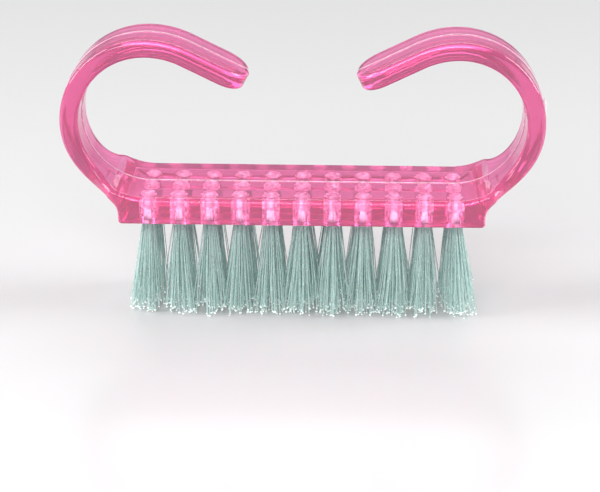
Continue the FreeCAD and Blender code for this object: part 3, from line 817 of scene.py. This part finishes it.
def tuft_tree(filament: bpy.types.Material, bead: bpy.types.Material) -> bpy.types.NodeTree:
    """Build the tree that grows one tuft of filaments folded over its anchor.

    Args:
        filament: The filament's material.
        bead: The material of the rounded tips, painted near white with a painted glow as their
            highlight.

    Returns:
        A Geometry Nodes tree with named inputs for the tuft's sizes and its seed.
    """
    tree = bpy.data.node_groups.new("folded_tuft", "GeometryNodeTree")
    face = tree.interface
    face.new_socket(name="Geometry", in_out="INPUT", socket_type="NodeSocketGeometry")
    for name, start in (("Folded Filaments", 30), ("Seed", 1)):
        face.new_socket(name=name, in_out="INPUT", socket_type="NodeSocketInt").default_value = start
    face.new_socket(name="Centre", in_out="INPUT", socket_type="NodeSocketVector")
    for name, start in (("Root Radius", 0.83 * MM), ("Anchor Half", 0.26 * MM),
                        ("Fold Level", 16.3 * MM), ("Mouth Level", 14.0 * MM),
                        ("Tip Radius", 2.5 * MM), ("Tip Scatter", 0.45 * MM),
                        ("Uneven Length", 1.2 * MM), ("Bow", 0.25 * MM),
                        ("Filament Radius", 0.064 * MM), ("Bead Radius", 0.180 * MM),
                        ("Pinch", 0.50), ("Lean X", 0.0), ("Lean Y", 0.0)):
        face.new_socket(name=name, in_out="INPUT", socket_type="NodeSocketFloat").default_value = start
    face.new_socket(name="Geometry", in_out="OUTPUT", socket_type="NodeSocketGeometry")
    w = TreeWriter(tree)
    given = w.add("NodeGroupInput").outputs

    def chance(low: float, high: float, key: Any, step: int) -> bpy.types.NodeSocket:
        """Draw a repeatable random number.

        Args:
            low: Lowest value.
            high: Highest value.
            key: What tells one draw from the next.
            step: Which of the tuft's draws this is.

        Returns:
            The number's socket.
        """
        node = w.add("FunctionNodeRandomValue", data_type="FLOAT")
        w.put(node.inputs[2], low)
        w.put(node.inputs[3], high)
        w.put(node.inputs["ID"], key)
        w.put(node.inputs["Seed"], w.math("ADD", given["Seed"], float(step * 131)))
        return node.outputs[1]

    # one straight strand a filament, stood on numbered points
    stations = w.add("GeometryNodeMeshLine", mode="OFFSET")
    w.put(stations.inputs["Count"], given["Folded Filaments"])
    stations.inputs["Offset"].default_value = (0.0, 0.0, 0.0)
    numbered = w.add("GeometryNodeCaptureAttribute", domain=Domain.POINT.value)
    numbered.capture_items.new("INT", "Number")
    w.put(numbered.inputs["Geometry"], stations.outputs["Mesh"])
    w.put(numbered.inputs[1], w.add("GeometryNodeInputIndex").outputs[0])
    strand = w.add("GeometryNodeCurvePrimitiveLine")
    strand.inputs["End"].default_value = (0.0, 0.0, 0.001)
    divided = w.add("GeometryNodeResampleCurve")
    w.put(divided.inputs["Curve"], strand.outputs[0])
    divided.inputs["Count"].default_value = 20
    stood = w.add("GeometryNodeInstanceOnPoints")
    w.put(stood.inputs["Points"], numbered.outputs["Geometry"])
    w.put(stood.inputs["Instance"], divided.outputs[0])
    strands = w.add("GeometryNodeRealizeInstances")
    w.put(strands.inputs[0], stood.outputs[0])
    number = numbered.outputs[1]

    # along: 0 at one tip, 1 at the other; out: 0 at the fold, 1 at either tip
    along = w.add("GeometryNodeSplineParameter").outputs["Factor"]
    across = w.math("MULTIPLY_ADD", along, 2.0, -1.0)
    side = w.math("SIGN", across)
    out = w.math("ABSOLUTE", across)
    key = w.math("MULTIPLY_ADD", number, 2.0, w.math("GREATER_THAN", across, 0.0))

    # where a leg of the fold stands in the hole
    spread = w.math("POWER", chance(0.0, 1.0, key, 1), 0.6)
    angle = chance(0.12, math.pi - 0.12, key, 2)
    radius = w.math("MULTIPLY", spread, given["Root Radius"])
    root_x = w.math("MULTIPLY", w.math("COSINE", angle), radius)
    leg = w.math("MAXIMUM", w.math("MULTIPLY", w.math("SINE", angle), radius), given["Anchor Half"])
    root_y = w.math("MULTIPLY", leg, side)

    # where its tip ends
    flare = w.math("DIVIDE", given["Tip Radius"], given["Root Radius"])
    scatter = given["Tip Scatter"]
    tip_x = w.math("ADD", w.math("MULTIPLY_ADD", root_x, flare, given["Lean X"]),
                   w.math("MULTIPLY", chance(-1.0, 1.0, key, 3), scatter))
    tip_y = w.math("ADD", w.math("MULTIPLY_ADD", root_y, flare, given["Lean Y"]),
                   w.math("MULTIPLY", chance(-1.0, 1.0, key, 4), scatter))
    short = w.math("MULTIPLY", w.math("POWER", chance(0.0, 1.0, key, 5), 2.2), given["Uneven Length"])
    tip_z = w.math("ADD", short, given["Bead Radius"])

    # height and flare along the leg
    fold_z = w.math("ADD", given["Fold Level"], w.math("MULTIPLY", leg, 0.35))
    turn = w.math("MULTIPLY", w.math("DIVIDE", out, 0.16, clamp=True), math.pi / 2)
    shoulder = w.math("SUBTRACT", fold_z, w.math("MULTIPLY", leg, 0.55))
    arch = w.math("MULTIPLY", w.math("COSINE", turn), w.math("MULTIPLY", leg, 0.55))
    down = w.math("DIVIDE", w.math("SUBTRACT", out, 0.16), 0.84, clamp=True)
    fall = w.math("MULTIPLY", down, w.math("SUBTRACT", shoulder, tip_z))
    z = w.math("SUBTRACT", w.math("ADD", shoulder, arch), fall)
    below = w.math("DIVIDE", w.math("SUBTRACT", given["Mouth Level"], z),
                   w.math("SUBTRACT", given["Mouth Level"], tip_z), clamp=True)
    bow = w.math("MULTIPLY", w.math("SINE", w.math("MULTIPLY", below, math.pi)), given["Bow"])
    bow_x = w.math("MULTIPLY", bow, chance(-1.0, 1.0, key, 6))
    bow_y = w.math("MULTIPLY", bow, chance(-1.0, 1.0, key, 7))
    root_side = w.math("MULTIPLY", root_y, w.math("SINE", turn))
    held = w.math("DIVIDE", w.math("SUBTRACT", z, given["Mouth Level"]), w.math(
        "SUBTRACT", given["Fold Level"], given["Mouth Level"]), clamp=True)
    pinched = w.math("MULTIPLY_ADD", held, w.math("MULTIPLY", given["Pinch"], -1.0), 1.0)
    foot_x = w.math("MULTIPLY", root_x, pinched)
    x = w.math("ADD", w.math("MULTIPLY_ADD", w.math("SUBTRACT", tip_x, root_x), below, foot_x), bow_x)
    y = w.math("ADD", w.math("MULTIPLY_ADD", w.math("SUBTRACT", tip_y, root_y), below, root_side), bow_y)
    bent = w.add("GeometryNodeSetPosition")
    w.put(bent.inputs["Geometry"], strands.outputs[0])
    w.put(bent.inputs["Position"], w.summed(w.combine(x, y, z), given["Centre"]))

    # skin on the strands, beads on their ends
    ring = w.add("GeometryNodeCurvePrimitiveCircle")
    ring.inputs["Resolution"].default_value = 5
    w.put(ring.inputs["Radius"], given["Filament Radius"])
    tube = w.add("GeometryNodeCurveToMesh")
    w.put(tube.inputs["Curve"], bent.outputs[0])
    w.put(tube.inputs["Profile Curve"], ring.outputs[0])
    tube.inputs["Fill Caps"].default_value = True
    ends = w.add("GeometryNodeCurveEndpointSelection")
    ball = w.add("GeometryNodeMeshUVSphere")
    ball.inputs["Segments"].default_value = 7
    ball.inputs["Rings"].default_value = 5
    ball.inputs["Radius"].default_value = 1.0
    beads = w.add("GeometryNodeInstanceOnPoints")
    w.put(beads.inputs["Points"], bent.outputs[0])
    w.put(beads.inputs["Selection"], ends.outputs[0])
    w.put(beads.inputs["Instance"], ball.outputs["Mesh"])
    size = w.math("MULTIPLY", given["Bead Radius"], chance(0.55, 1.0, key, 8))
    w.put(beads.inputs["Scale"], w.combine(size, size, w.math("MULTIPLY", size, 0.85)))
    flagged = w.add("GeometryNodeStoreNamedAttribute", data_type="BOOLEAN", domain=Domain.INSTANCE.value)
    w.put(flagged.inputs["Geometry"], beads.outputs[0])
    flagged.inputs["Name"].default_value = "is_bead"
    flagged.inputs["Value"].default_value = True
    joined = w.add("GeometryNodeJoinGeometry")
    w.put(joined.inputs[0], tube.outputs[0])
    w.put(joined.inputs[0], flagged.outputs[0])
    real = w.add("GeometryNodeRealizeInstances")
    w.put(real.inputs[0], joined.outputs[0])
    smooth = w.add("GeometryNodeSetShadeSmooth")
    w.put(smooth.inputs["Geometry"], real.outputs[0])
    coat = w.add("GeometryNodeSetMaterial")
    coat.inputs["Material"].default_value = filament
    w.put(coat.inputs["Geometry"], smooth.outputs[0])
    is_bead = w.add("GeometryNodeInputNamedAttribute", data_type="BOOLEAN")
    is_bead.inputs["Name"].default_value = "is_bead"
    tipped = w.add("GeometryNodeSetMaterial")
    tipped.inputs["Material"].default_value = bead
    w.put(tipped.inputs["Geometry"], coat.outputs[0])
    w.put(tipped.inputs["Selection"], is_bead.outputs["Attribute"])
    w.put(w.add("NodeGroupOutput").inputs[0], tipped.outputs[0])
    return tree


@dataclass
class BristleTufts:
    """Thirty-three tufts, each a bundle of filaments folded over its anchor wire."""

    foot: float
    pitch: float = 4.17 * MM
    row_pitch: float = 3.8 * MM
    columns: int = 11
    fold_rise: float = 2.3 * MM
    folded: int = 34
    tip_radius: float = 2.5 * MM
    uneven: float = 1.2 * MM
    lean: float = 0.35 * MM
    end_lean: float = 0.80 * MM
    seed: int = 4100
    sway_shifts: tuple[float, float, float] = (0.0, 17.3, 41.9)

    def one(self, tree: bpy.types.NodeTree, row: Row, column: int) -> bpy.types.Object:
        """Grow one tuft and turn it into a plain mesh.

        Args:
            tree: The tuft's Geometry Nodes tree.
            row: Which row it stands in.
            column: Its number along the row, from 1.

        Returns:
            The tuft's object.
        """
        word, across = row.value
        name = f"filaments_{word}_{column:02d}"
        key = self.seed + 37 * column + 911 * (across + 1)
        x = (column - 1 - self.columns // 2) * self.pitch
        sway = Vector([noise.noise(Vector((column * 0.83 + shift, across * 2.1, 0.5)))
                       for shift in self.sway_shifts])
        draft = bpy.data.objects.new(name + "_draft", bpy.data.meshes.new(name + "_draft"))
        bpy.context.scene.collection.objects.link(draft)
        grown = draft.modifiers.new("tuft", "NODES")
        grown.node_group = tree
        modifier_input(grown, "Centre", (x, across * self.row_pitch, 0.0))
        modifier_input(grown, "Seed", key)
        modifier_input(grown, "Mouth Level", self.foot)
        modifier_input(grown, "Fold Level", self.foot + self.fold_rise)
        modifier_input(grown, "Folded Filaments", self.folded + (key % 5) - 2)
        modifier_input(grown, "Tip Radius", self.tip_radius * (1.0 + 0.10 * sway.z))
        modifier_input(grown, "Uneven Length", self.uneven)
        outward = self.end_lean * (column in (1, self.columns)) * math.copysign(1.0, x)
        modifier_input(grown, "Lean X", self.lean * sway.x + outward)
        modifier_input(grown, "Lean Y", self.lean * sway.y)
        tuft = plain_mesh(draft, name)
        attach(tuft, BODY)
        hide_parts(f"tuft_{word}_{column:02d}")
        return tuft

    def build(self, finishes: Finishes) -> list[bpy.types.Object]:
        """Grow every tuft.

        Args:
            finishes: The finished materials.

        Returns:
            The tufts' objects, row by row.
        """
        tree = tuft_tree(finishes.nylon, finishes.nylon_tip)
        return [self.one(tree, row, column) for row in Row for column in range(1, self.columns + 1)]


@dataclass
class AnchorWires:
    """The flat wires that hold the tufts, kept as the CAD made them."""

    nodes: tuple[str, ...] = ("anchor_wires_front", "anchor_wires_middle", "anchor_wires_back")

    def dress(self, shown: dict[str, bpy.types.Object], finishes: Finishes) -> None:
        """Give the wires their finish.

        Args:
            shown: The CAD nodes by name.
            finishes: The finished materials.
        """
        for name in self.nodes:
            for slot in shown[name].material_slots:
                slot.material = finishes.wire


# ---------------------------------------------------------------------------
# studio
# ---------------------------------------------------------------------------

@dataclass
class SoftLight:
    """One square soft light, aimed at a point."""

    name: str
    place: tuple[float, float, float]
    aim: tuple[float, float, float]
    size: tuple[float, float]
    power: float

    def build(self) -> None:
        """Make the light."""
        data = bpy.data.lights.new(self.name, "AREA")
        data.shape = "RECTANGLE"
        data.size, data.size_y = self.size
        data.energy = self.power
        lamp = bpy.data.objects.new(self.name, data)
        lamp.location = self.place
        lamp.rotation_euler = (Vector(self.aim) - Vector(self.place)).to_track_quat("-Z", "Y").to_euler()
        bpy.context.scene.collection.objects.link(lamp)


@dataclass
class Studio:
    """Pale floor, soft lights and the camera."""

    floor_half: float = 3.0
    focal_over_width: float = 3.0258
    distance: float = 0.25316
    elevation: float = 23.09
    turn: float = 1.622
    roll: float = 0.12
    aim: tuple[float, float, float] = (-0.00033, 0.0, 0.00805)
    sky: tuple[float, float, float, float] = (1.0, 1.0, 1.0, 1.0)
    sky_strength: float = 0.32
    lights: tuple[SoftLight, ...] = (
        SoftLight("left_soft_light", (-0.42, -0.06, 0.26), (0.0, 0.0, 0.025), (0.24, 0.34), 2.2),
        SoftLight("right_soft_light", (0.44, 0.02, 0.24), (0.0, 0.0, 0.025), (0.22, 0.34), 2.1),
        SoftLight("front_soft_light", (-0.10, -0.50, 0.38), (0.0, 0.0, 0.015), (0.50, 0.20), 2.3),
        SoftLight("back_soft_light", (0.0, 0.46, 0.42), (0.0, 0.0, 0.02), (0.60, 0.25), 1.4))

    def build_floor(self) -> None:
        """Make the floor, which isn't part of the brush."""
        h = self.floor_half
        mesh = bpy.data.meshes.new("floor")
        mesh.from_pydata([(-h, -h, 0), (h, -h, 0), (h, h, 0), (-h, h, 0)], [], [(0, 1, 2, 3)])
        mesh.materials.append(PaleFloor().make())
        floor = bpy.data.objects.new("floor", mesh)
        floor.location.z = -0.00002
        bpy.context.scene.collection.objects.link(floor)

    def build_sky(self) -> None:
        """Make the even pale light all round."""
        world = bpy.data.worlds.new("pale_room")
        world.use_nodes = True
        shade = world.node_tree.nodes["Background"]
        shade.inputs["Color"].default_value = self.sky
        shade.inputs["Strength"].default_value = self.sky_strength
        bpy.context.scene.world = world

    def build_camera(self) -> None:
        """Make the camera and its tone."""
        data = bpy.data.cameras.new("camera")
        data.sensor_width = 36.0
        data.lens = 36.0 * self.focal_over_width
        data.clip_start, data.clip_end = 0.01, 20.0
        camera = bpy.data.objects.new("camera", data)
        a, e = math.radians(self.turn), math.radians(self.elevation)
        back = Vector((math.sin(a) * math.cos(e), -math.cos(a) * math.cos(e), math.sin(e)))
        place = Vector(self.aim) + back * self.distance
        turn = (-back).to_track_quat("-Z", "Y").to_matrix().to_4x4()
        camera.matrix_world = Matrix.Translation(place) @ turn @ Matrix.Rotation(
            math.radians(self.roll), 4, "Z")
        scene = bpy.context.scene
        scene.collection.objects.link(camera)
        scene.camera = camera
        scene.view_settings.view_transform = "Standard"
        scene.view_settings.look = "None"

    def build(self) -> None:
        """Make the whole studio."""
        self.build_floor()
        self.build_sky()
        for light in self.lights:
            light.build()
        self.build_camera()


def main() -> None:
    """Build the brush and its studio in order, and report each piece."""
    logging.basicConfig(level=logging.INFO, format="%(message)s")
    finishes = Finishes()
    nodes = frame["nodes"]
    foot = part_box("handle_body")[0].z
    handle = MouldedHandle(foot).build(nodes["handle_body"], finishes)
    LOG.info("handle: %d faces", len(handle.data.polygons))
    tufts = BristleTufts(foot).build(finishes)
    for tuft in tufts:
        LOG.info("%s: %d faces", tuft.name, len(tuft.data.polygons))
    AnchorWires().dress(nodes, finishes)
    LOG.info("anchor wires dressed")
    Studio().build()


if __name__ == "__main__":
    main()
